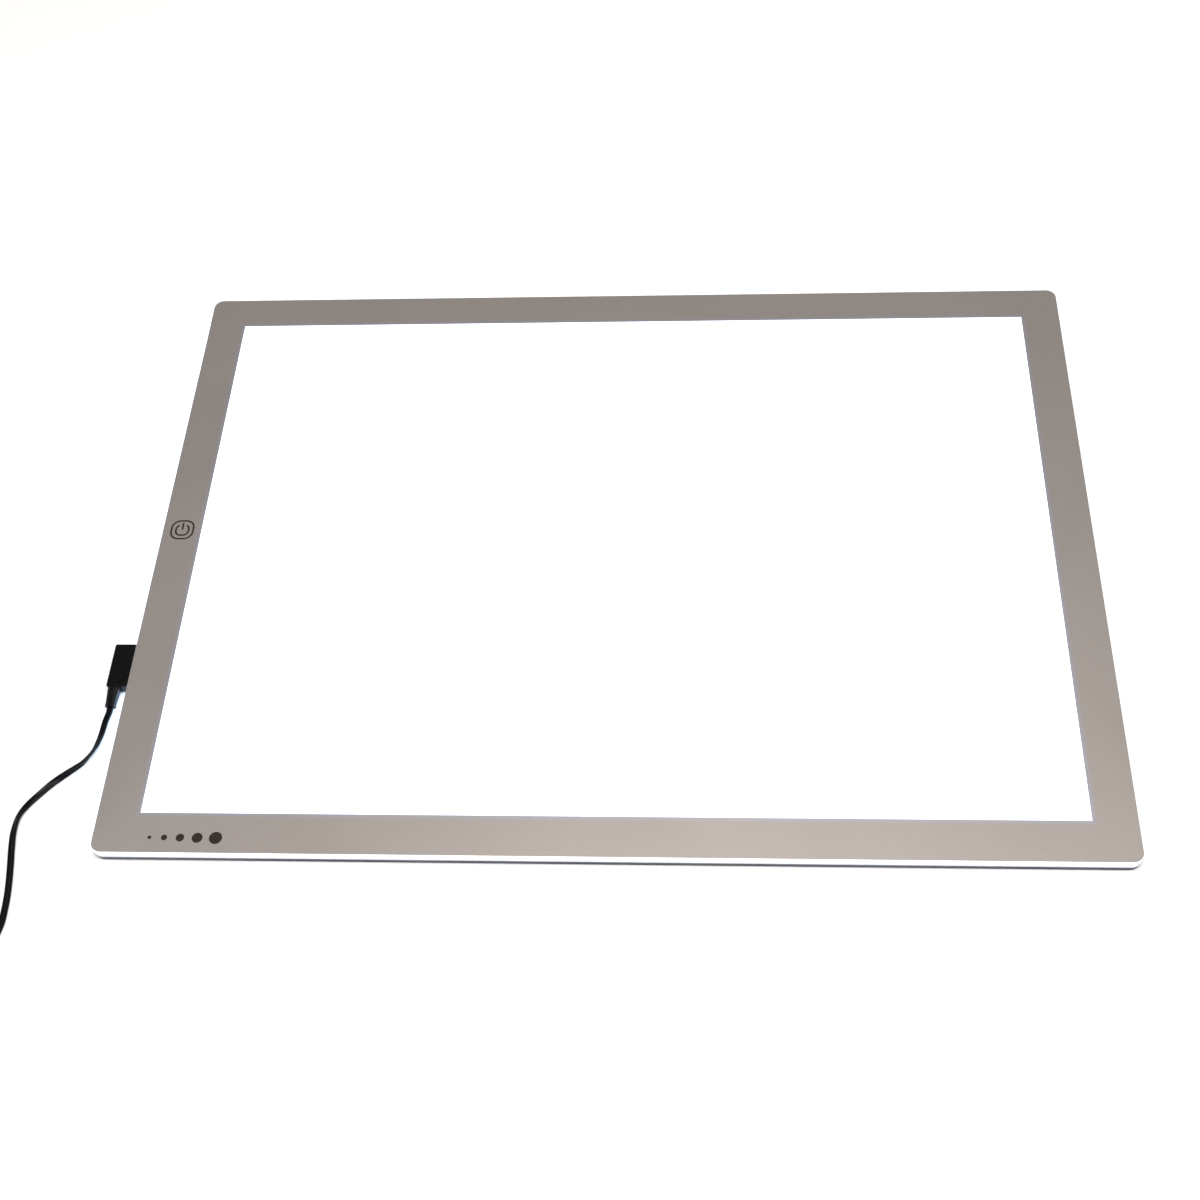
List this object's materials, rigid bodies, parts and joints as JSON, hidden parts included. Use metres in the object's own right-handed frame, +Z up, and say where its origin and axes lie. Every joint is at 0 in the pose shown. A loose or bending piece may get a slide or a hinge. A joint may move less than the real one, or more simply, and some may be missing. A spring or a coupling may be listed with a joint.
{
  "type": "light box",
  "caption": "Slim edge-lit drawing light panel with a silver bezel, touch switch, rubber feet and a pull-out low-voltage lead with a plug-in adapter.",
  "frame": {"origin": "on the table, below the middle of the panel", "axes": "+X along the panel's long side to the right, +Y to the back, +Z up out of the lit face"},
  "size_m": [0.797, 0.6207, 0.0508],
  "materials": {
    "silver_print": "satin silver ink with a fine grain",
    "dark_print": "matt dark ink",
    "opal_acrylic": "satin opal acrylic, lit from below",
    "clear_acrylic": "clear acrylic that glows from within",
    "diffuser": "milky film",
    "back_plastic": "fine textured dark grey sheet",
    "foot_rubber": "matt rubber",
    "screw_steel": "zinc plated",
    "white_board": "white solder mask",
    "led": "phosphor",
    "green_board": "green solder mask",
    "chip_plastic": "moulded epoxy",
    "can_metal": "drawn can",
    "cream_plastic": "nylon",
    "copper_foil": "foil",
    "grey_foam": "conductive foam",
    "wire_red": "PVC sleeve",
    "inlet_plastic": "moulded",
    "nickel": "nickel plated",
    "plug_vinyl": "soft moulded vinyl",
    "lead_vinyl": "glossy flat lead",
    "tie_plastic": "ribbon with a wire core",
    "adapter_plastic": "spark-textured case",
    "pin_brass": "turned brass",
    "tape_yellow": "wrapped tape",
    "sleeve_blue": "printed sleeve"
  },
  "bodies": {
    "panel": {"back_panel": "back_plastic", "edge_frame": "clear_acrylic", "top_panel": "opal_acrylic", "bezel": "silver_print", "touch_symbol": "dark_print", "brightness_mark": "dark_print", "reflector_film": "diffuser", "light_guide": "clear_acrylic", "diffuser_sheet": "diffuser", "front_led_strip": "white_board", "rear_led_strip": "white_board", "front_leds": "led", "rear_leds": "led", "control_board": "green_board", "touch_chip": "chip_plastic", "driver_chip": "chip_plastic", "inductor": "chip_plastic", "board_capacitors": "can_metal", "wire_sockets": "cream_plastic", "touch_electrode": "copper_foil", "touch_foam": "grey_foam", "front_strip_wires": "wire_red", "rear_strip_wires": "wire_red", "dc_inlet": "inlet_plastic", "inlet_pin": "nickel", "inlet_terminals": "nickel", "back_screws": "screw_steel", "foot_front_left": "foot_rubber", "foot_front_middle": "foot_rubber", "foot_front_right": "foot_rubber", "foot_rear_left": "foot_rubber", "foot_rear_middle": "foot_rubber", "foot_rear_right": "foot_rubber"},
    "lead": {"plug_body": "plug_vinyl", "plug_barrel": "nickel", "plug_insulator": "plug_vinyl", "plug_contact": "nickel", "plug_strain_relief": "plug_vinyl", "cord_run": "lead_vinyl", "cord_coil": "lead_vinyl", "coil_tie": "tie_plastic", "cord_tail": "lead_vinyl", "adapter_cover": "adapter_plastic", "adapter_base": "adapter_plastic", "adapter_strain_relief": "plug_vinyl", "live_pin": "pin_brass", "neutral_pin": "pin_brass", "earth_pin": "adapter_plastic", "adapter_board": "green_board", "adapter_transformer": "tape_yellow", "adapter_input_capacitor": "sleeve_blue", "adapter_output_capacitor": "sleeve_blue"}
  },
  "joints": [
    {"name": "plug_pull", "type": "slide", "parent": "panel", "child": "lead", "axis": [-1, 0, 0], "range_m": [0, 0.012]}
  ]
}
